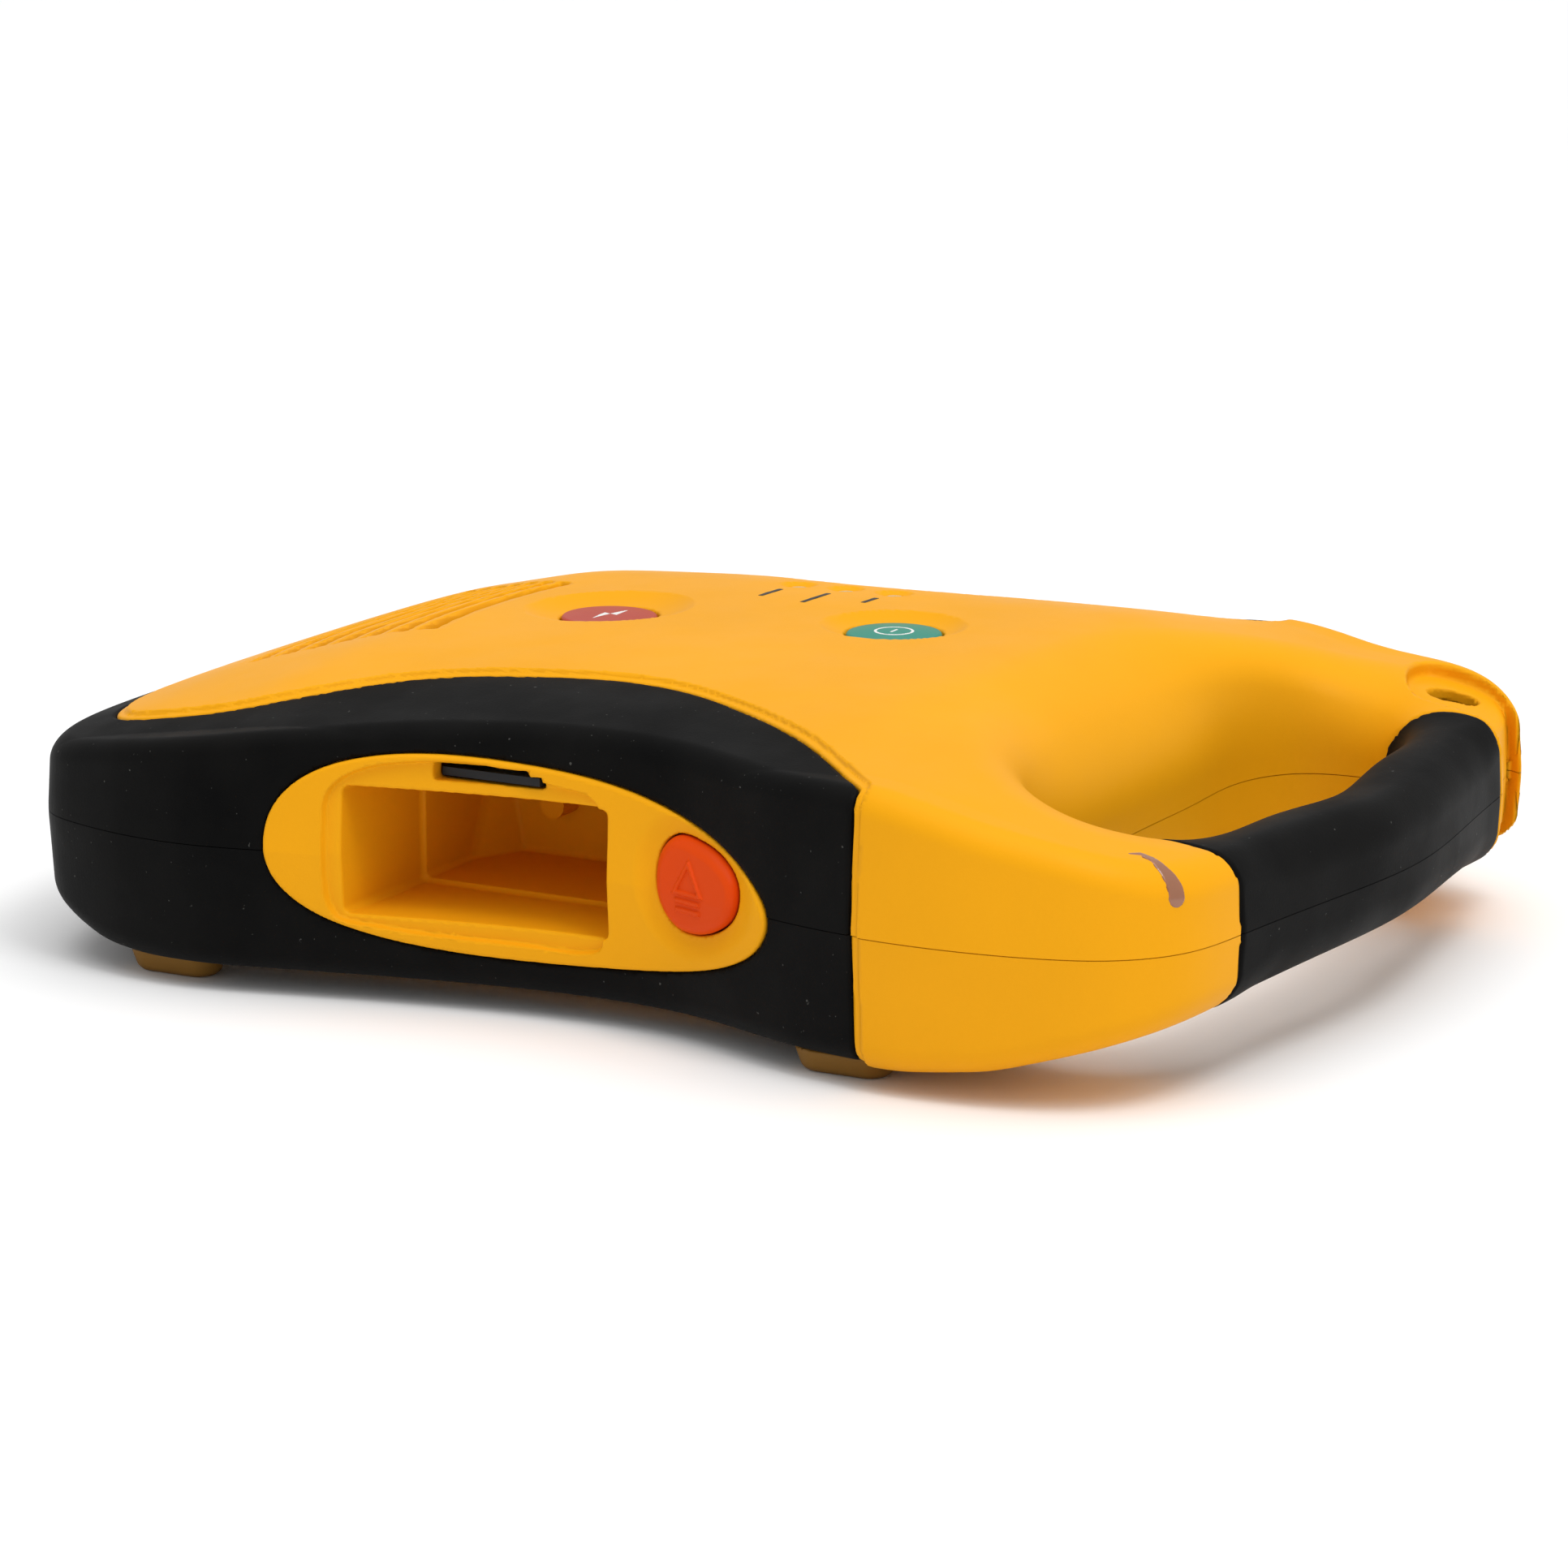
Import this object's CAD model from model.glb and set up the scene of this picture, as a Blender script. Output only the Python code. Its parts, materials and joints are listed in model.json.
"""The looks of a portable defibrillator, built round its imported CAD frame.

Shapes are written as signed fields in millimetres, measured from the plane where the two case
shells meet: a field is negative inside a piece and about the distance from its surface outside.
Each field becomes a fine closed mesh, and the piece then stands for the CAD node of its name.
"""

import json
import math

import bpy
import numpy as np
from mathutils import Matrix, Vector


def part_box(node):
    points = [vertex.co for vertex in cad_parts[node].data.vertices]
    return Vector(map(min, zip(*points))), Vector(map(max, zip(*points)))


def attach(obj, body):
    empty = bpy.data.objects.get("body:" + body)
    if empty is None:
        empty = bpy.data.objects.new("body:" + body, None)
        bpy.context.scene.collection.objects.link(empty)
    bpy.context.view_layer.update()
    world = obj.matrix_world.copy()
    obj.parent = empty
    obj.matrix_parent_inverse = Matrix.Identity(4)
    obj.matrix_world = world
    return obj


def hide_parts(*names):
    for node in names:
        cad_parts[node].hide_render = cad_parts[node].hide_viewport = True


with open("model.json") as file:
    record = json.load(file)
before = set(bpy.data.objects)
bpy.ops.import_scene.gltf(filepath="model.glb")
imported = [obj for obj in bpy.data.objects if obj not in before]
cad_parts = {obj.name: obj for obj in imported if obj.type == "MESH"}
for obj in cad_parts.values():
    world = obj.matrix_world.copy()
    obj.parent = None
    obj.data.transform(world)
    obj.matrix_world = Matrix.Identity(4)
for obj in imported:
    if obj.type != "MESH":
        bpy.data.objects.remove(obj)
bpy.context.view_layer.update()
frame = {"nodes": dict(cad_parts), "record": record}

# Lengths of the form, in millimetres
MM = 0.001
PARTING = (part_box("front_case")[0].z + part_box("rear_case")[1].z) / 2 / MM
UNDERSIDE = 28.5
DRAFT = 0.06
EDGE = 5.5
WALL = 3.0
RUBBER = 3.0
GAP = 0.2
# Half the gap between the two shells, and how far from it its walls are measured
SEAM = 0.1
SEAM_REACH = 1.0
BUMPER_SUNK = 0.9
BUMPER_END = 73.0
FAR = 400.0

# Right half of the plan outline, from the foot end to the handle end
OUTLINE = [(0, -150), (38, -149), (72, -145.5), (92, -139), (102, -132), (107.5, -121),
           (111.5, -105), (112, -87), (108.5, -70), (99.5, -30), (96, 0), (98.5, 25), (107, 50),
           (112, 75), (112, 96), (109, 114), (103, 128), (93, 137), (71, 142), (36, 146.5), (0, 150)]
# Heights of the face over the parting plane and depths of the back under it, as (y, height)
FACE_AT_EDGE = [(-150, 14), (-108, 21), (-72, 26.5), (-40, 29.3), (-10, 30.3), (45, 30.5),
                (74, 31), (86, 28.8), (99, 25.6), (119, 21.5), (142, 15), (150, 14)]
FACE_AT_MIDDLE = [(-150, 14), (-138, 18), (-116, 26), (-83, 34), (-40, 36), (0, 36.5), (55, 36.5),
                  (97, 28), (119, 22), (142, 15), (150, 14)]
BACK = [(-150, 17), (-134, 21), (-116, 27.5), (-104, UNDERSIDE), (82, UNDERSIDE), (102, 26),
        (122, 20.3), (142, 14), (150, 13)]
CROWN_HALF_WIDTH = 100.0
LEFT_DROP = 4.1
# Right half of the line where the yellow shell meets the bumper, on the face and on the underside
FACE_BORDER = [(106, 72.5), (94, 60), (81, 44), (70, 26), (61, 6), (58.5, -12), (62, -34),
               (70, -58), (81, -74), (88.5, -90), (90, -108), (86, -123), (76, -130), (40, -135),
               (0, -137)]
BACK_BORDER = [(86, BUMPER_END), (82, 55), (79, 0), (81, -60), (84, -98), (76, -114), (56, -121),
               (0, -125)]
# Right half of the handle opening on the parting plane, and of its wider rim on the face
HOLE_AT_PARTING = [(0, 86), (30, 86), (55, 87.5), (65, 94), (68.5, 104), (67, 114), (58, 121),
                   (30, 125), (0, 128)]
HOLE_RIM = [(0, 66), (28, 68), (52, 78), (68, 88), (80, 103), (81, 114), (74, 125), (34, 133),
            (0, 137)]
# Where the rubber sleeve of the handle bar ends, along x
GRIP_ENDS = (-67.0, 71.0)


# ---- Curves ----

def natural_spline(xs, ys, at):
    """A smooth curve through the points (xs, ys), read at the places at."""
    n = len(xs)
    h = np.diff(xs)
    a = np.zeros((n, n))
    b = np.zeros((n,) + ys.shape[1:])
    a[0, 0] = a[-1, -1] = 1
    for i in range(1, n - 1):
        a[i, i - 1:i + 2] = h[i - 1], 2 * (h[i - 1] + h[i]), h[i]
        b[i] = 3 * ((ys[i + 1] - ys[i]) / h[i] - (ys[i] - ys[i - 1]) / h[i - 1])
    c = np.linalg.solve(a, b)
    i = np.clip(np.searchsorted(xs, at) - 1, 0, n - 2)
    t = at - xs[i]
    step = h[i]
    if ys.ndim > 1:
        t, step = t[:, None], step[:, None]
    slope = (ys[i + 1] - ys[i]) / step - step * (2 * c[i] + c[i + 1]) / 3
    return ys[i] + t * (slope + t * (c[i] + t * (c[i + 1] - c[i]) / (3 * step)))


def profile(pairs, soften=5.0):
    """A function of y that follows [y, value] pairs, with its corners rounded off."""
    step = 0.25
    pairs = np.array(pairs, float)
    places = np.arange(pairs[0, 0] - 20, pairs[-1, 0] + 20, step)
    straight = np.interp(places, pairs[:, 0], pairs[:, 1])
    span = np.arange(-3 * soften, 3 * soften + step, step)
    weights = np.exp(-0.5 * (span / soften) ** 2)
    padded = np.pad(straight, len(span) // 2, mode="edge")
    table = np.convolve(padded, weights / weights.sum(), mode="valid")
    return lambda y: np.interp(y, places, table)


def mirrored_loop(right):
    """A closed loop from its right half, which starts and ends on the middle plane."""
    right = np.array(right, float)
    left = right[1:-1][::-1] * (-1, 1)
    return np.vstack([right, left])


def smooth_loop(points, step=2.0):
    """Points close together on a smooth closed curve through the given ones."""
    n = len(points)
    wrapped = np.vstack([points[-3:], points, points[:4]])
    along = np.concatenate([[0], np.cumsum(np.linalg.norm(np.diff(wrapped, axis=0), axis=1))])
    start, end = along[3], along[3 + n]
    at = np.linspace(start, end, int((end - start) / step), endpoint=False)
    return natural_spline(along, wrapped, at)


def smooth_line(points, step=2.0):
    """Points close together on a smooth open curve through the given ones."""
    points = np.array(points, float)
    along = np.concatenate([[0], np.cumsum(np.linalg.norm(np.diff(points, axis=0), axis=1))])
    return natural_spline(along, points, np.linspace(0, along[-1], int(along[-1] / step)))


# ---- Fields ----

class PlanField:
    """Signed distance in one plane to a closed loop, negative inside, kept on a square grid."""

    def __init__(self, loop, step=1.0, margin=14.0):
        low, high = loop.min(0) - margin, loop.max(0) + margin
        shape = np.ceil((high - low) / step).astype(int) + 1
        gx, gy = np.meshgrid(low[0] + step * np.arange(shape[0]),
                             low[1] + step * np.arange(shape[1]), indexing="ij")
        nearest = np.full(shape, 1e9)
        inside = np.zeros(shape, bool)
        for (ax, ay), (bx, by) in zip(loop, np.roll(loop, -1, axis=0)):
            dx, dy = bx - ax, by - ay
            t = np.clip(((gx - ax) * dx + (gy - ay) * dy) / (dx * dx + dy * dy + 1e-12), 0, 1)
            nearest = np.minimum(nearest, (gx - ax - t * dx) ** 2 + (gy - ay - t * dy) ** 2)
            if ay != by:
                crosses = ((ay > gy) != (by > gy)) & (gx < ax + (gy - ay) / dy * dx)
                inside ^= crosses
        self.values = np.sqrt(nearest) * np.where(inside, -1, 1)
        self.low, self.step = low, step

    def __call__(self, x, y):
        """The distance at points, with smooth cubic steps between the grid's values."""
        top = np.array(self.values.shape) - 3
        fx = np.clip((x - self.low[0]) / self.step, 1, top[0])
        fy = np.clip((y - self.low[1]) / self.step, 1, top[1])
        ix, iy = fx.astype(int), fy.astype(int)
        tx, ty = fx - ix, fy - iy
        total = 0
        wx, wy = cubic_weights(tx), cubic_weights(ty)
        for i in range(4):
            for j in range(4):
                total = total + wx[i] * wy[j] * self.values[ix + i - 1, iy + j - 1]
        beyond = np.hypot(x - self.low[0] - fx * self.step, y - self.low[1] - fy * self.step)
        return total + beyond


def cubic_weights(t):
    return (((-0.5 * t + 1) * t - 0.5) * t, (1.5 * t - 2.5) * t * t + 1,
            ((-1.5 * t + 2) * t + 0.5) * t, (0.5 * t - 0.5) * t * t)


def both(a, b, radius=0.0):
    """The part that two fields share, with a round edge."""
    if np.isscalar(radius) and radius == 0:
        return np.maximum(a, b)
    corner = np.hypot(np.maximum(a + radius, 0), np.maximum(b + radius, 0)) - radius
    return np.minimum(np.maximum(a, b), -radius) + np.maximum(corner + radius, 0)


def soft_both(a, b, reach):
    """As both, blended wide where the two surfaces meet at a shallow angle."""
    h = np.maximum(reach - np.abs(a - b), 0) / reach
    return np.maximum(a, b) + h * h * reach / 4


def ramp(value, start, end):
    """0 before start, 1 after end, and smooth between."""
    t = np.clip((value - start) / (end - start), 0, 1)
    return t * t * (3 - 2 * t)


def box_field(p, low, high, radius=0.0):
    """A box with round edges."""
    middle, half = (np.array(low) + high) / 2, (np.array(high) - low) / 2 - radius
    away = [np.abs(p[i] - middle[i]) - half[i] for i in range(3)]
    outside = np.sqrt(sum(np.maximum(d, 0) ** 2 for d in away))
    return outside + np.minimum(np.maximum.reduce(away), 0) - radius


# ---- Meshing ----

CORNERS = [(i, j, k) for i in (0, 1) for j in (0, 1) for k in (0, 1)]
BLOCK = 8
# The steepest slope that a field may have, for telling which blocks its surface can't cross
STEEPEST = 1.9
LEAST_SLOPE = 0.2


def sample(field, low, shape, cell):
    """The field on a grid, worked out in full only in the blocks that its surface may cross."""
    blocks = -(-shape // BLOCK)
    centres = np.stack(np.meshgrid(*[np.arange(b) for b in blocks], indexing="ij"), -1)
    centres = centres.reshape(-1, 3)
    middle = low + (centres * BLOCK + (BLOCK - 1) / 2) * cell
    rough = field(*middle.T)
    reach = STEEPEST * math.sqrt(3) / 2 * (BLOCK + 1) * cell
    values = np.repeat(rough.reshape(blocks), BLOCK, 0).repeat(BLOCK, 1).repeat(BLOCK, 2)
    near = centres[np.abs(rough) < reach]
    offsets = np.stack(np.meshgrid(*[np.arange(BLOCK)] * 3, indexing="ij"), -1).reshape(-1, 3)
    for part in np.array_split(near, max(1, len(near) // 700)):
        at = (part[:, None] * BLOCK + offsets).reshape(-1, 3)
        values[tuple(at.T)] = field(*(low + at * cell).T)
    return values.astype(np.float32)


def surface_points(values, cells, low, cell):
    """One point in each crossed cell: the middle of where its edges are crossed."""
    place = np.zeros((len(cells), 3))
    count = np.zeros(len(cells))
    for a in CORNERS:
        for axis in range(3):
            if a[axis]:
                continue
            b = tuple(v + (i == axis) for i, v in enumerate(a))
            fa = values[tuple((cells + a).T)]
            fb = values[tuple((cells + b).T)]
            crossed = (fa < 0) != (fb < 0)
            t = np.where(crossed, fa / np.where(crossed, fa - fb, 1), 0)
            point = np.array(a) + t[:, None] * np.eye(3)[axis]
            place += point * crossed[:, None]
            count += crossed
    return low + (cells + place / count[:, None]) * cell


def gradient(field, points, reach):
    rises = [field(*(points + step).T) - field(*(points - step).T) for step in np.eye(3) * reach]
    return np.stack(rises, 1) / (2 * reach)


def mesh_of(field, low, high, cell, seam=0):
    """Points, quads and normals of the closed surface where the field is zero.

    A seam of 1 or -1 says that the piece lies above or below the parting plane and meets it.
    """
    low = np.floor(np.array(low) / cell - 2) * cell
    high = np.array(high) + 2 * cell
    shape = np.ceil((high - low) / cell).astype(int) + 1
    values = sample(field, low, shape, cell)
    inside = values < 0
    corners = sum(inside[i:inside.shape[0] - 1 + i, j:inside.shape[1] - 1 + j,
                         k:inside.shape[2] - 1 + k].astype(np.int8) for i, j, k in CORNERS)
    crossed = (corners > 0) & (corners < 8)
    index = np.full(crossed.shape, -1)
    index[crossed] = np.arange(crossed.sum())
    cells = np.argwhere(crossed)
    points = surface_points(values, cells, low, cell)
    quads = []
    for axis in range(3):
        u, v = (axis + 1) % 3, (axis + 2) % 3
        ahead = np.roll(inside, -1, axis)
        edge = inside != ahead
        for other in (axis, u, v):
            trim = [slice(None)] * 3
            trim[other] = -1
            edge[tuple(trim)] = False
            trim[other] = 0
            if other != axis:
                edge[tuple(trim)] = False
        at = np.argwhere(edge)
        corner = []
        for du, dv in ((-1, -1), (0, -1), (0, 0), (-1, 0)):
            c = at.copy()
            c[:, u] += du
            c[:, v] += dv
            corner.append(index[tuple(c.T)])
        quad = np.stack(corner, 1)
        flip = ~inside[tuple(at.T)]
        quad[flip] = quad[flip][:, ::-1]
        quads.append(quad)
    points = onto_surface(field, points, cell)
    normals = gradient(field, points, 0.25 * cell)
    if seam:
        corner = seam_corners(cells, inside, low, cell, seam)
        straighten_seam(field, points, normals, corner, cell, seam)
    normals /= np.maximum(np.linalg.norm(normals, axis=1), 1e-9)[:, None]
    return points, np.vstack(quads), normals


def seam_corners(cells, inside, low, cell, seam):
    """The cells where a wall runs into the seam."""
    inner = 1 if seam > 0 else 0
    beside = np.abs(low[2] + (cells[:, 2] + 1 - inner) * cell) < 0.1 * cell
    solid = sum(inside[tuple((cells + (i, j, inner)).T)].astype(int)
                for i in (0, 1) for j in (0, 1))
    return beside & (solid > 0) & (solid < 4)


def straighten_seam(field, points, normals, corner, cell, seam):
    """Puts the points along a seam's edge on the wall and on the seam, so that the line is even."""
    at = points[corner]
    at[:, 2] = seam * (SEAM + SEAM_REACH)
    for _ in range(3):
        slope = gradient(field, at, 0.2 * cell)
        slope[:, 2] = 0
        move = -field(*at.T)[:, None] * slope / np.maximum((slope ** 2).sum(1), LEAST_SLOPE)[:, None]
        length = np.linalg.norm(move, axis=1)
        at = at + move * np.minimum(1, 0.4 * cell / np.maximum(length, 1e-9))[:, None]
    normals[corner] = gradient(field, at, 0.25 * cell)
    at[:, 2] = seam * SEAM
    points[corner] = at


def onto_surface(field, points, cell):
    """The points moved on to the field's surface, by at most half a cell at each step."""
    for _ in range(2):
        value = field(*points.T)
        slope = gradient(field, points, 0.2 * cell)
        move = -value[:, None] * slope / np.maximum((slope ** 2).sum(1), LEAST_SLOPE)[:, None]
        length = np.linalg.norm(move, axis=1)
        points = points + move * np.minimum(1, 0.5 * cell / np.maximum(length, 1e-9))[:, None]
    return points


def add_piece(name, mesh, material, body="housing", replaces=True):
    """The mesh as a smooth-shaded object that rides on a body and may stand for its CAD node."""
    points, quads, normals = mesh
    data = bpy.data.meshes.new(name)
    data.from_pydata(((points + (0, 0, PARTING)) * MM).tolist(), [], quads.tolist())
    data.shade_smooth()
    data.normals_split_custom_set_from_vertices(normals.tolist())
    piece = bpy.data.objects.new(name, data)
    bpy.context.scene.collection.objects.link(piece)
    data.materials.append(material)
    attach(piece, body)
    if replaces:
        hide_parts(name)


# ---- The outer form ----

face_at_edge = profile(FACE_AT_EDGE)
face_at_middle = profile(FACE_AT_MIDDLE)
back_depth = profile(BACK, soften=3.0)
outline = PlanField(smooth_loop(mirrored_loop(OUTLINE)))
hole = PlanField(smooth_loop(mirrored_loop(HOLE_AT_PARTING)), margin=30)
rim = PlanField(smooth_loop(mirrored_loop(HOLE_RIM)), margin=30)


def border_field(border):
    """The part of the plan that the rubber leaves bare: negative there."""
    right = smooth_line(border)[::-1]
    left = right[:-1][::-1] * (-1, 1) if right[0][0] == 0 else right[1:][::-1] * (-1, 1)
    reach = 135
    corners = [(reach, BUMPER_END), (reach, 175), (-reach, 175), (-reach, BUMPER_END)]
    return PlanField(np.vstack([right, corners, left]), margin=6)


face_bare = border_field(FACE_BORDER)
back_bare = border_field(BACK_BORDER)


def face_height(x, y):
    crown = np.maximum(0, 1 - (np.abs(x) / CROWN_HALF_WIDTH) ** 3)
    drop = LEFT_DROP * ramp(-x, 45, 105) * ramp(130 - np.abs(y), 0, 40)
    return face_at_edge(y) + (face_at_middle(y) - face_at_edge(y)) * crown - drop


def opening_field(x, y, z):
    """Positive in the handle opening and in the scoop that flares up from it to the face."""
    out = hole(x, y)
    span = np.maximum(out - rim(x, y), 4)
    up = np.clip((z / face_height(x, y) - 0.15) / 0.85, 0, 1.3)
    flare = 2.6 * (np.maximum(-z - 8, 0) / 14) ** 2
    return span * up ** 2.38 + flare - out


def grip_share(x, y):
    """1 on the handle bar and 0 off it."""
    return ramp(y, 116, 130) * (1 - ramp(np.abs(x), 54, 70))


def form(x, y, z, side, sunk=0.0):
    """Half of the outer form, above (side 1) or below (side -1) the parting plane."""
    height = face_height(x, y) - sunk if side > 0 else back_depth(y)
    wall = outline(x, y) + DRAFT * np.abs(z)
    lid = (side * z - height) * 0.95
    shape = both(wall, lid, EDGE + 2.5 * grip_share(x, y))
    if side > 0:
        return soft_both(shape, opening_field(x, y, z) * 0.8, 8)
    return soft_both(shape, opening_field(x, y, z), 5)


def whole_form(x, y, z):
    return np.where(z >= 0, form(x, y, z, 1), form(x, y, z, -1))


# ---- The face: dishes, grille and the edge beside the rubber ----

# Each key: x, y, radius of its dish, radius of the key, depth of the dish
ON_OFF = (-13, 18, 16.5, 10.8, 2.1)
SHOCK = (-5, -51, 19.5, 11.0, 2.5)
LIGHT_X, LIGHT_YS, LIGHT_RADIUS = -47.5, (-25, -12.5, 0), 2.6
LIGHT_DISH = (4.6, 2.8, 0.9)
# The slots: the first one's y and half length, what each next one adds, their bow and half width
GRILLE = dict(count=7, first=-81.5, pitch=6.6, half=30, grow=2.6, bow=7 / 2025, slot=1.45)


def dish(x, y, x0, y0, outer, inner, depth):
    out = np.clip((np.hypot(x - x0, y - y0) - inner) / (outer - inner), 0, 1)
    return depth * (1 - out ** 1.5)


def grille_place(x, y):
    """Which slot is nearest, how far its middle line is, and how far inside its end the point is."""
    g = GRILLE
    rows = (g["first"] - (y - g["bow"] * x * x)) / g["pitch"]
    row = np.clip(np.round(rows), 0, g["count"] - 1)
    half = g["half"] + g["grow"] * rows
    return rows, (rows - row) * g["pitch"], half - np.abs(x)


def grille_sunk(x, y):
    """How deep the face sinks between the grille's ribs."""
    rows, across, inside = grille_place(x, y)
    last = GRILLE["count"] - 1
    share = ramp(inside, -1.5, 0) * ramp(rows, -0.75, -0.4)
    share = share * (1 - ramp(rows, last + 0.4, last + 0.75))
    return share * (0.3 + 3.0 * (1 - ramp(np.abs(across), 1.0, 2.5)))


def face_sunk(x, y):
    depth = dish(x, y, *ON_OFF) + dish(x, y, *SHOCK) + grille_sunk(x, y)
    for light_y in LIGHT_YS:
        depth = depth + dish(x, y, LIGHT_X, light_y, *LIGHT_DISH)
    return depth


def slots_field(x, y, z):
    """Negative in the grille's through slots."""
    _, across, inside = grille_place(x, y)
    return both(np.abs(across) - GRILLE["slot"], 0.8 - inside, 0.5)


def button_bore(x, y, place):
    return np.hypot(x - place[0], y - place[1]) - place[3] - 0.35


def grip_block(x, y):
    """The stretch of the handle bar that rubber covers, with ends that bow outwards."""
    bow = 2.5 * np.maximum(0, 1 - ((y - 131) / 12) ** 2)
    return both(np.maximum(x - GRIP_ENDS[1], GRIP_ENDS[0] - x) - bow, 110 - y)


# The outline of the battery bezel on the right side wall, as (y, z)
EGG = [(51.2, -1), (46.5, 6.2), (36, 12.6), (22, 17.3), (5, 20.8), (-15, 22.8), (-35, 23.3),
       (-52, 21), (-62, 17), (-69, 10), (-71, 0.5), (-69.8, -4.5), (-64, -11), (-52, -16.2),
       (-35, -19.2), (-14, -20.2), (8, -19.3), (28, -16.5), (41, -12.3), (49, -6.5)]
egg = PlanField(smooth_loop(np.array(EGG, float)))

# The channel that runs off the left handle corner, in plan
CHANNEL = [(-100, 112.5), (-99.5, 118), (-96, 128), (-88, 141), (-86, 160), (-84, 170),
           (-66, 170), (-68, 155), (-70, 141), (-73, 128), (-77, 118), (-86, 111.5)]
CHANNEL_DEPTH = 3.4
channel_plan = PlanField(smooth_loop(np.array(CHANNEL, float)), margin=20)
SOCKET_LOW, SOCKET_HIGH = (-92, 116.5), (-84, 127.5)


def egg_field(x, y, z):
    """Negative in the bezel's outline, on the right side of the object only."""
    return both(egg(y, z), 60 - x)


def channel_cut(x, y, shape):
    """Negative in the channel's groove, which follows the surface."""
    return both(channel_plan(x, y), -(shape + CHANNEL_DEPTH), 1.2)


def channel_lining(x, y, shape):
    """The wall under the channel."""
    outer = both(channel_plan(x, y) - WALL, shape + 0.8)
    return both(outer, -(shape + CHANNEL_DEPTH + WALL))


def socket_hole(x, y, grow):
    """Negative in the upright slot with round ends over the pads socket."""
    middle = [(a + b) / 2 for a, b in zip(SOCKET_LOW, SOCKET_HIGH)]
    half = [(b - a) / 2 for a, b in zip(SOCKET_LOW, SOCKET_HIGH)]
    over = np.maximum(np.abs(y - middle[1]) - half[1] + half[0], 0)
    return np.hypot(x - middle[0], over) - half[0] - grow


def shell_body(x, y, z, shape, bare_at):
    """One shell: bare skin, the bed under the rubber with its narrow ledge, and the hollow."""
    ledge = BUMPER_SUNK * ramp(bare_at, -2.4, -1.7)
    skin = both(shape + ledge, bare_at + GAP / 2, 0.6)
    under = shape + BUMPER_SUNK + RUBBER + GAP
    body = np.minimum(skin, under)
    bare = ramp(-bare_at, 3, 9)
    thick = WALL + (BUMPER_SUNK + RUBBER + GAP) * (1 - bare)
    body = both(body, -(shape + thick))
    body = np.minimum(body, channel_lining(x, y, shape))
    body = both(body, -channel_cut(x, y, shape), 0.9)
    body = both(body, -grip_block(x, y) + GAP / 2, 0.7)
    return both(body, -egg_field(x, y, z))


def front_case(x, y, z):
    shape = form(x, y, z, 1, face_sunk(x, y))
    body = shell_body(x, y, z, shape, face_bare(x, y))
    body = both(body, -slots_field(x, y, z), 0.5)
    body = both(body, -button_bore(x, y, ON_OFF), 0.4)
    body = both(body, -button_bore(x, y, SHOCK), 0.4)
    for light_y in LIGHT_YS:
        body = both(body, LIGHT_RADIUS + 0.2 - np.hypot(x - LIGHT_X, y - light_y), 0.3)
    body = both(body, -both(socket_hole(x, y, 0.3), 2 - z), 0.6)
    body = both(body, -(lens_edge(x, y, z, shape) + LENS_LAP), 0.3)
    return both(body, SEAM - z, 0.25)


LENS_LAP = 0.9
# The status window: [x, y, z, half width] along its curved middle line on the surface
LENS_LINE = [(92.6, 126.2, 19.2, 0.5), (90.4, 127.6, 18.9, 0.8), (90.4, 129.9, 18.3, 1.1),
             (91.5, 132.8, 17.0, 1.45), (91.7, 134.7, 15.3, 1.8), (91.8, 136.0, 13.3, 2.0),
             (92.1, 136.5, 11.6, 2.1)]


def lens_edge(x, y, z, shape):
    """Distance along the surface from the edge of the window's tapering stroke."""
    nearest = np.full(np.shape(x), FAR)
    for a, b in zip(LENS_LINE, LENS_LINE[1:]):
        along = np.array(b[:3]) - a[:3]
        t = ((x - a[0]) * along[0] + (y - a[1]) * along[1] + (z - a[2]) * along[2]) / (along @ along)
        t = np.clip(t, 0, 1)
        away = sum((v - a[i] - t * along[i]) ** 2 for i, v in enumerate((x, y, z)))
        beside = np.sqrt(np.maximum(away - shape ** 2, 0))
        nearest = np.minimum(nearest, beside - a[3] - t * (b[3] - a[3]))
    return nearest


def status_lens(x, y, z):
    shape = form(x, y, z, 1)
    window = both(lens_edge(x, y, z, shape), shape - 0.15, 0.35)
    return both(window, -(shape + 2.8))


RECESS_DEPTH = 8
RECESS_LOW, RECESS_HIGH = (-70, -96, -FAR), (70, 56, -UNDERSIDE + RECESS_DEPTH)
SCREWS = [(70, -108), (-70, -108), (80, 67), (-80, 67), (28, 73), (-28, 73)]
SCREW_BOSS, SCREW_HEAD, SCREW_SHANK, SCREW_SEAT = 5, 3.7, 2.05, 8


def rear_case(x, y, z):
    shape = form(x, y, z, -1)
    body = shell_body(x, y, z, shape, back_bare(x, y))
    recess = box_field((x, y, z), RECESS_LOW, RECESS_HIGH, 6)
    body = np.minimum(body, both(recess - WALL, shape))
    body = both(body, -recess, 1.2)
    for sx, sy in SCREWS:
        away = np.hypot(x - sx, y - sy)
        body = np.minimum(body, both(away - SCREW_BOSS, shape))
        bore = np.minimum(away - SCREW_SHANK, both(away - SCREW_HEAD, z + UNDERSIDE - SCREW_SEAT))
        body = both(body, -bore, 0.4)
    return both(body, z + SEAM, 0.25)


def bumper_field(side, bare):
    def field(x, y, z):
        shape = form(x, y, z, side) + BUMPER_SUNK
        body = both(shape, GAP / 2 - bare(x, y), 0.9)
        body = both(body, -(shape + RUBBER))
        body = both(body, -egg_field(x, y, z) + GAP / 2, 0.6)
        return both(body, SEAM - side * z, 0.25)
    return field


def grip_field(side):
    def field(x, y, z):
        shape = form(x, y, z, side) - 0.15
        body = both(shape, grip_block(x, y) + GAP / 2, 0.7)
        return both(body, SEAM - side * z, 0.25)
    return field


# ---- Battery well ----

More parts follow.
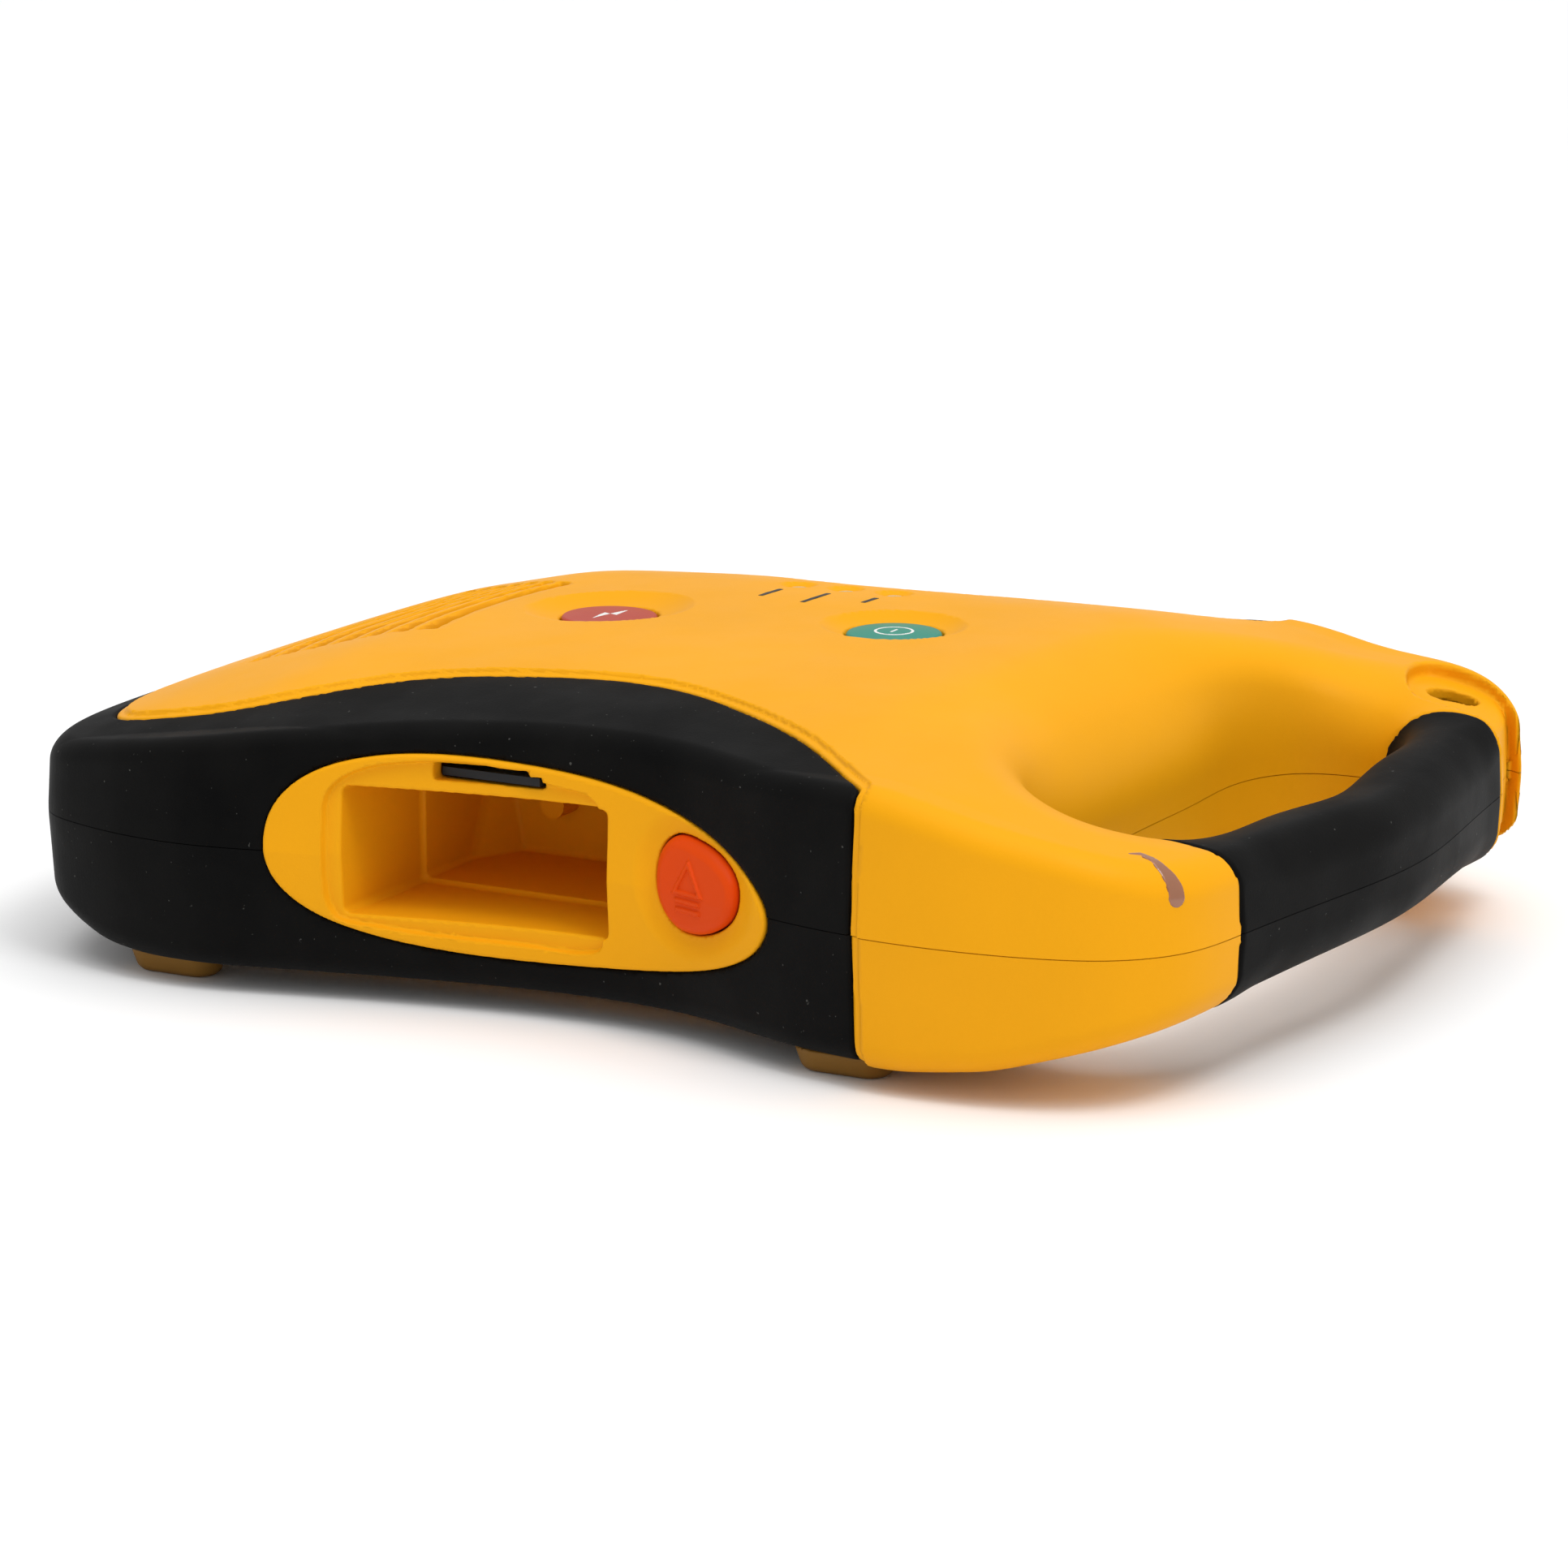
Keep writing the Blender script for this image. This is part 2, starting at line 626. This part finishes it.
BAY_LOW, BAY_HIGH = (70, -54.5, -13), (FAR, 7, 15)
BAY_BACK_LOW, BAY_BACK_HIGH = (39, -53.5, -12), (FAR, 6, 14.9)
# The edge of the shallow recess round the bay's mouth, as (y, z)
FRAME_LOOP = [(-57.8, -4), (-57.4, -10), (-55.6, -13.4), (-50, -14.9), (-40, -15.8), (-28, -16.4),
              (-10, -16.7), (2, -16.4), (4.8, -15.2), (5.4, -12), (5.4, 0), (5.4, 12), (4, 16),
              (-4, 18.4), (-18, 21.2), (-30, 21.9), (-42, 20.8), (-53.2, 17.2), (-56.8, 13.6),
              (-57.8, 6)]
frame_edge = PlanField(smooth_loop(np.array(FRAME_LOOP, float), 1.0))
FRAME_DEPTH = 1.6
BEZEL_THICK = 5.5
LINER = 2.0
# The card slot's two boxes, the upper one with its ragged end
CARD_SLOT = ((60, -34.2, 17.6), (FAR, -8.8, 20.2))
CARD_SLOT_TOP = ((60, -34.4, 18.0), (FAR, -12, 21.4))
EJECT_Y, EJECT_Z = 30.9, 2.0
EJECT_LOOP = [(19.4, 3.2), (20.7, 8.7), (24.2, 11.9), (30.4, 11.9), (37.8, 9.4), (42.1, 4.8),
              (42, -0.3), (37.7, -5.2), (30.7, -8.0), (24.7, -7.4), (20.8, -3.5)]
eject_edge = PlanField(smooth_loop(np.array(EJECT_LOOP, float), 0.8), step=0.5)


def bay_field(p):
    """The battery bay: a wide mouth, a narrower back, and a slanted wall in its far corner."""
    x, y, z = p
    mouth = box_field(p, BAY_LOW, BAY_HIGH, 1.6)
    back = box_field(p, BAY_BACK_LOW, BAY_BACK_HIGH, 1.2)
    slant = (x - BAY_BACK_LOW[0]) * 0.5 + (y - BAY_BACK_LOW[1])
    gusset = slant * 0.894 - 5.5 + 0.18 * (z - BAY_BACK_LOW[2])
    return np.minimum(mouth, both(back, -gusset, 0.8)), np.minimum(mouth, back)


def battery_well(x, y, z):
    """The bezel with its stepped frame and the dish round the eject key, and the bay's liner."""
    p = (x, y, z)
    step = FRAME_DEPTH * (1 - ramp(frame_edge(y, z), -0.35, 0.35))
    sunk = 1.5 * (1 - ramp(eject_edge(y, z), 0.5, 6)) + step
    whole = whole_form(x, y, z)
    plate = both(whole + sunk, egg_field(x, y, z) + GAP / 2, 0.8)
    plate = both(plate, -(whole + BEZEL_THICK))
    bay, around = bay_field(p)
    liner = both(both(around - LINER, whole + 2.5), egg(y, z) + 0.5)
    body = np.minimum(plate, liner)
    body = both(body, -bay, 0.6)
    body = both(body, -(both(eject_edge(y, z) - 0.35, 78 - x)), 0.4)
    slot = np.minimum(box_field(p, *CARD_SLOT_TOP, 0.5), box_field(p, *CARD_SLOT, 0.4))
    return both(body, -slot, 0.3)


def triangle_field(y, z, middle, size, turn):
    """Distance to an equilateral triangle that points along turn."""
    angles = [turn + math.pi + k * 2 * math.pi / 3 for k in (-1, 0, 1)]
    return np.maximum.reduce([(y - middle[0]) * math.cos(a) + (z - middle[1]) * math.sin(a)
                              for a in angles]) - size / 2


def eject_button(x, y, z):
    """The domed eject key with a raised triangle over two bars."""
    dome = whole_form(x, y, z) - 1.1 + 0.0013 * ((y - EJECT_Y) ** 2 + (z - EJECT_Z) ** 2) ** 1.2
    mark_y, mark_z = EJECT_Y - 1.5, EJECT_Z + 1.2
    triangle = np.abs(triangle_field(y, z, (mark_y, mark_z), 4.2, math.pi / 2)) - 0.35
    bars = np.abs(np.abs(z - mark_z + 4.8) - 0.95) - 0.38
    bars = np.maximum(bars, np.abs(y - mark_y) - 3.4)
    raised = 0.55 * (1 - ramp(np.minimum(triangle, bars), -0.15, 0.35))
    return both(both(dome - raised, eject_edge(y, z), 2.6), 82 - x, 0.5)


# ---- Small pieces ----

KEY_CROWN = 0.35


def key_top(place):
    """The height of a key's rim, a little over the bottom of its dish."""
    return float(face_height(np.array(place[0]), np.array(place[1]))) - place[4] + 0.25


def key_field(place):
    """A round key cap with a gently domed top, and its stem."""
    x0, y0, _, radius, _ = place
    top = key_top(place)

    def field(x, y, z):
        away = np.hypot(x - x0, y - y0)
        crown = z - top - KEY_CROWN * (1 - (away / radius) ** 2)
        cap = both(both(away - radius, crown, 0.7), top - 3 - z)
        return np.minimum(cap, both(away - 2, np.abs(z - top + 3.4) - 2.4))
    return field


def power_mark(x, y):
    """A ring with a short bar in it."""
    away = np.hypot(x - ON_OFF[0], y - ON_OFF[1])
    bar = np.maximum(np.abs(x - ON_OFF[0]) - 1.6, np.abs(y - ON_OFF[1]) - 0.3)
    return np.minimum(np.abs(away - 4.2) - 0.35, bar)


# A lightning bolt, round the middle of its key
BOLT = [(-6.5, 1.6), (0.6, 2.2), (0.0, 0.3), (6.5, -1.2), (-0.6, -1.6), (0.2, 0.2)]
bolt_plan = PlanField(np.array(BOLT, float) + SHOCK[:2], step=0.2, margin=3)


def mark_field(place, plan):
    """A thin inlay in a key's top."""
    top = key_top(place)

    def field(x, y, z):
        away = np.hypot(x - place[0], y - place[1])
        crown = z - top - KEY_CROWN * (1 - (away / place[3]) ** 2)
        return both(np.abs(crown + 0.12) - 0.18, plan(x, y))
    return field


# Plain printed bars beside the lights: middle x, y, half length along the slope, half width
BARS = [(-34, -25, 5.0, 0.7), (-32.5, -12.5, 6.5, 0.7), (-35.5, 0, 3.5, 0.7)]


def bar_field(x, y, z):
    """Thin bars that lie in the face."""
    shape = np.abs(form(x, y, z, 1, face_sunk(x, y)) + 0.1) - 0.17
    plan = np.minimum.reduce([box_field((x, y, 0 * z), (bx - half, by - wide, -1),
                                        (bx + half, by + wide, 1), 0.2)
                              for bx, by, half, wide in BARS])
    return both(shape, plan)


def light_lens(light_y):
    """A small round window in its dish."""
    top = float(face_height(np.array(LIGHT_X), np.array(float(light_y)))) - LIGHT_DISH[2]

    def field(x, y, z):
        away = np.hypot(x - LIGHT_X, y - light_y)
        return both(both(away - LIGHT_RADIUS, z - top, 0.6), top - 6 - z, 0.3)
    return field


FOOT_RADIUS, FOOT_REACH = 6, 5.3


def foot_field(x0, y0):
    """A rubber foot with round ends that narrows towards the floor."""
    def field(x, y, z):
        away = np.hypot(x - x0, np.maximum(np.abs(y - y0) - FOOT_REACH, 0)) - FOOT_RADIUS
        taper = 0.35 * np.maximum(-UNDERSIDE - z, 0)
        return both(both(away + taper, -PARTING - z, 1.6), z + UNDERSIDE - BUMPER_SUNK + 0.1)
    return field


# ---- Materials ----

def new_material(name, color, roughness, **sockets):
    material = bpy.data.materials.new(name)
    material.use_nodes = True
    shader = material.node_tree.nodes["Principled BSDF"]
    shader.inputs["Base Color"].default_value = (*color, 1)
    shader.inputs["Roughness"].default_value = roughness
    for socket, value in sockets.items():
        shader.inputs[socket.replace("_", " ").title().replace("Ior", "IOR")].default_value = value
    return material


def noise(tree, scale, detail=3.0, roughness=0.5):
    coords = tree.nodes.new("ShaderNodeTexCoord")
    texture = tree.nodes.new("ShaderNodeTexNoise")
    texture.inputs["Scale"].default_value = scale
    texture.inputs["Detail"].default_value = detail
    texture.inputs["Roughness"].default_value = roughness
    tree.links.new(coords.outputs["Object"], texture.inputs["Vector"])
    return texture.outputs["Fac"]


def ramp_node(tree, value, stops):
    node = tree.nodes.new("ShaderNodeValToRGB")
    elements = node.color_ramp.elements
    while len(elements) < len(stops):
        elements.new(0.5)
    for element, (place, color) in zip(elements, stops):
        element.position = place
        element.color = (*color, 1)
    tree.links.new(value, node.inputs["Fac"])
    return node.outputs["Color"]


def add_bump(tree, value, strength, distance):
    bump = tree.nodes.new("ShaderNodeBump")
    bump.inputs["Strength"].default_value = strength
    bump.inputs["Distance"].default_value = distance
    tree.links.new(value, bump.inputs["Height"])
    tree.links.new(bump.outputs["Normal"], tree.nodes["Principled BSDF"].inputs["Normal"])


def moulded_plastic(name, color, roughness=0.42, grain=2600, gleam=0.2):
    """Moulded plastic with a spark-eroded grain and a faint drift of tone."""
    material = new_material(name, color, roughness)
    tree = material.node_tree
    shader = tree.nodes["Principled BSDF"]
    shader.inputs["Specular IOR Level"].default_value = gleam
    deep = tuple(c * 0.93 for c in color)
    tone = ramp_node(tree, noise(tree, 18, 4), [(0.3, deep), (0.7, color)])
    tree.links.new(tone, shader.inputs["Base Color"])
    low, high = roughness - 0.04, roughness + 0.05
    gloss = ramp_node(tree, noise(tree, 60, 3), [(0.2, (low,) * 3), (0.8, (high,) * 3)])
    tree.links.new(gloss, shader.inputs["Roughness"])
    add_bump(tree, noise(tree, grain, 2), 0.12, 0.00025)
    return material


def soft_rubber(name):
    """Matt black rubber with a greyish bloom and a few specks of dust."""
    material = new_material(name, (0.004, 0.004, 0.004), 0.6)
    material.node_tree.nodes["Principled BSDF"].inputs["Specular IOR Level"].default_value = 0.05
    tree = material.node_tree
    shader = tree.nodes["Principled BSDF"]
    shader.inputs["Sheen Weight"].default_value = 0.015
    shader.inputs["Sheen Roughness"].default_value = 0.5
    bloom = ramp_node(tree, noise(tree, 30, 5, 0.6),
                      [(0.3, (0.0015,) * 3), (0.75, (0.0055, 0.0052, 0.0048))])
    specks = ramp_node(tree, noise(tree, 900, 1),
                       [(0.76, (0, 0, 0)), (0.82, (0.06, 0.06, 0.055))])
    mix = tree.nodes.new("ShaderNodeMix")
    mix.data_type = "RGBA"
    mix.blend_type = "ADD"
    mix.inputs["Factor"].default_value = 1
    tree.links.new(bloom, mix.inputs["A"])
    tree.links.new(specks, mix.inputs["B"])
    tree.links.new(mix.outputs["Result"], shader.inputs["Base Color"])
    gloss = ramp_node(tree, noise(tree, 45, 4), [(0.3, (0.5,) * 3), (0.7, (0.66,) * 3)])
    tree.links.new(gloss, shader.inputs["Roughness"])
    add_bump(tree, noise(tree, 1800, 3), 0.15, 0.0002)
    return material


def clear_lens(name, color):
    material = new_material(name, color, 0.18)
    shader = material.node_tree.nodes["Principled BSDF"]
    shader.inputs["Transmission Weight"].default_value = 0.35
    shader.inputs["Coat Weight"].default_value = 0.5
    add_bump(material.node_tree, noise(material.node_tree, 400, 2), 0.05, 0.0002)
    return material


def metal(name, color, roughness):
    material = new_material(name, color, roughness)
    shader = material.node_tree.nodes["Principled BSDF"]
    shader.inputs["Metallic"].default_value = 1
    add_bump(material.node_tree, noise(material.node_tree, 900, 2), 0.08, 0.0001)
    return material


YELLOW = moulded_plastic("case_yellow", (0.86, 0.375, 0.006), gleam=0.06)
RUBBER_BLACK = soft_rubber("rubber_black")
ORANGE = moulded_plastic("orange_plastic", (0.72, 0.062, 0.003), 0.42, gleam=0.08)
TEAL = moulded_plastic("teal_key", (0.014, 0.25, 0.18), 0.38, gleam=0.25)
RED = moulded_plastic("red_key", (0.45, 0.055, 0.03), 0.38)
WHITE = moulded_plastic("white_print", (0.8, 0.8, 0.78), 0.5)
LENS = clear_lens("lens", (0.42, 0.17, 0.085))
LIGHT = clear_lens("indicator_lens", (0.9, 0.55, 0.12))
AMBER = moulded_plastic("foot_rubber", (0.24, 0.115, 0.018), 0.55, 900)
BLACK = moulded_plastic("black_plastic", (0.012, 0.012, 0.013), 0.42)
STEEL = metal("spring_steel", (0.62, 0.63, 0.65), 0.3)
COPPER = metal("copper", (0.55, 0.25, 0.12), 0.35)
BOARD = moulded_plastic("board", (0.02, 0.12, 0.05), 0.35)
LABEL = moulded_plastic("label", (0.66, 0.66, 0.64), 0.5)
BY_SLOT = {"case_yellow": YELLOW, "rubber_black": RUBBER_BLACK, "orange_plastic": ORANGE,
           "teal_key": TEAL, "red_key": RED, "lens": LENS, "foot_rubber": AMBER,
           "black_plastic": BLACK, "spring_steel": STEEL, "board": BOARD, "copper": COPPER,
           "label": LABEL}


# ---- Build ----

def build_pieces():
    fine, usual = 0.65, 1.05
    wide, deep = 114, 152

    def build(name, field, low, high, cell, material, body="housing", seam=0):
        add_piece(name, mesh_of(field, low, high, cell, seam), material, body)

    build("front_case", front_case, (-wide, -deep, 0), (wide, deep, 40), usual, YELLOW, seam=1)
    build("rear_case", rear_case, (-wide, -deep, -30), (wide, deep, 0), usual, YELLOW, seam=-1)
    front, rear = bumper_field(1, face_bare), bumper_field(-1, back_bare)
    build("front_bumper", front, (-wide, -deep, 0), (wide, 75, 40), usual, RUBBER_BLACK, seam=1)
    build("rear_bumper", rear, (-wide, -deep, -30), (wide, 75, 0), usual, RUBBER_BLACK, seam=-1)
    build("front_grip", grip_field(1), (-74, 106, 0), (78, deep, 24), usual, RUBBER_BLACK, seam=1)
    build("rear_grip", grip_field(-1), (-74, 106, -28), (78, deep, 0), usual, RUBBER_BLACK, seam=-1)
    build("battery_well", battery_well, (30, -76, -24), (wide, 54, 28), fine, YELLOW)
    small = fine / 2
    build("eject_button", eject_button, (80, 16, -12), (106, 48, 18), small, ORANGE, "eject_key")
    build("on_off_button", key_field(ON_OFF), (-26, 5, 24), (0, 31, 38), small, TEAL, "on_off_key")
    build("shock_button", key_field(SHOCK), (-18, -64, 24), (12, -34, 38), small, RED, "shock_key")
    build("status_lens", status_lens, (86, 122, 5), (100, 142, 23), small, LENS)
    for i, light_y in enumerate(LIGHT_YS):
        low, high = (LIGHT_X - 4, light_y - 4, 24), (LIGHT_X + 4, light_y + 4, 38)
        build(f"indicator_lens_{i + 1}", light_lens(light_y), low, high, small, LIGHT)
    for i in range(4):
        low, high = (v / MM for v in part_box(f"foot_{i + 1}"))
        x0, y0 = (low.x + high.x) / 2, (low.y + high.y) / 2
        low, high = (x0 - 8, y0 - 14, -PARTING - 1), (x0 + 8, y0 + 14, 3 - UNDERSIDE)
        build(f"foot_{i + 1}", foot_field(x0, y0), low, high, fine, AMBER)
    build_marks()


def build_marks():
    """The plain symbols and bars printed on the keys and the face."""
    x0, y0 = ON_OFF[:2]
    top = key_top(ON_OFF)
    low, high = (x0 - 6, y0 - 6, top - 1), (x0 + 6, y0 + 6, top + 1)
    mesh = mesh_of(mark_field(ON_OFF, power_mark), low, high, 0.2)
    add_piece("on_off_mark", mesh, WHITE, "on_off_key", replaces=False)
    x0, y0 = SHOCK[:2]
    top = key_top(SHOCK)
    low, high = (x0 - 8, y0 - 5, top - 1), (x0 + 8, y0 + 5, top + 1)
    mesh = mesh_of(mark_field(SHOCK, bolt_plan), low, high, 0.2)
    add_piece("shock_mark", mesh, WHITE, "shock_key", replaces=False)
    mesh = mesh_of(bar_field, (-41, -27, 32), (-24, 2, 38), 0.24)
    add_piece("light_captions", mesh, BLACK, replaces=False)


# Pieces at the back of the bay, moulded in the colour of the well
IN_THE_BAY = ("battery_ejector", "battery_contacts")


def dress_cad_nodes():
    slots = {part["node"]: part["material_slot"] for part in frame["record"]["subparts"]}
    for name, node in frame["nodes"].items():
        node.data.materials.clear()
        node.data.materials.append(YELLOW if name in IN_THE_BAY else BY_SLOT[slots[name]])


# ---- Stage ----

CAMERA_AT = Vector((1.0901, 0.5934, 0.325))
HEADING, PITCH = math.radians(28.68), math.radians(13.22)
FOCAL_SHARE = 7000 / 1932


def add_camera():
    data = bpy.data.cameras.new("camera")
    data.sensor_width = 36
    data.lens = data.sensor_width * FOCAL_SHARE
    data.clip_end = 20
    camera = bpy.data.objects.new("camera", data)
    look = Vector((-math.cos(HEADING) * math.cos(PITCH),
                   -math.sin(HEADING) * math.cos(PITCH),
                   -math.sin(PITCH)))
    camera.location = CAMERA_AT
    camera.rotation_euler = look.to_track_quat("-Z", "Y").to_euler()
    bpy.context.scene.collection.objects.link(camera)
    bpy.context.scene.camera = camera


OBJECT_MIDDLE = (0, 0, 0.03)


def add_light(name, place, size, energy):
    """A square area light that faces the object."""
    data = bpy.data.lights.new(name, "AREA")
    data.shape = "RECTANGLE"
    data.size, data.size_y = size
    data.energy = energy
    light = bpy.data.objects.new(name, data)
    light.location = place
    aim = Vector(OBJECT_MIDDLE) - Vector(place)
    light.rotation_euler = aim.to_track_quat("-Z", "Y").to_euler()
    bpy.context.scene.collection.objects.link(light)


def add_sun(name, direction, strength, angle):
    """A wide, soft light from one side of the sky."""
    data = bpy.data.lights.new(name, "SUN")
    data.energy = strength
    data.angle = math.radians(angle)
    light = bpy.data.objects.new(name, data)
    light.rotation_euler = (-Vector(direction)).to_track_quat("-Z", "Y").to_euler()
    bpy.context.scene.collection.objects.link(light)


def add_stage():
    floor = bpy.data.meshes.new("floor")
    half = 8
    corners = [(-half, -half, 0), (half, -half, 0), (half, half, 0), (-half, half, 0)]
    floor.from_pydata(corners, [], [(0, 1, 2, 3)])
    plane = bpy.data.objects.new("floor", floor)
    bpy.context.scene.collection.objects.link(plane)
    floor.materials.append(new_material("floor", (0.93, 0.93, 0.93), 0.9))
    world = bpy.data.worlds.new("world")
    world.use_nodes = True
    background = world.node_tree.nodes["Background"]
    background.inputs["Color"].default_value = (1, 1, 1, 1)
    background.inputs["Strength"].default_value = 0.6
    bpy.context.scene.world = world
    bpy.context.scene.view_settings.view_transform = "Standard"
    add_sun("overhead", (0.08, 0.2, 1), 1.55, 70)
    add_light("softbox", (0.35, 0.75, 1.5), (0.5, 0.5), 6)


add_camera()
build_pieces()
dress_cad_nodes()
add_stage()
bpy.context.view_layer.update()
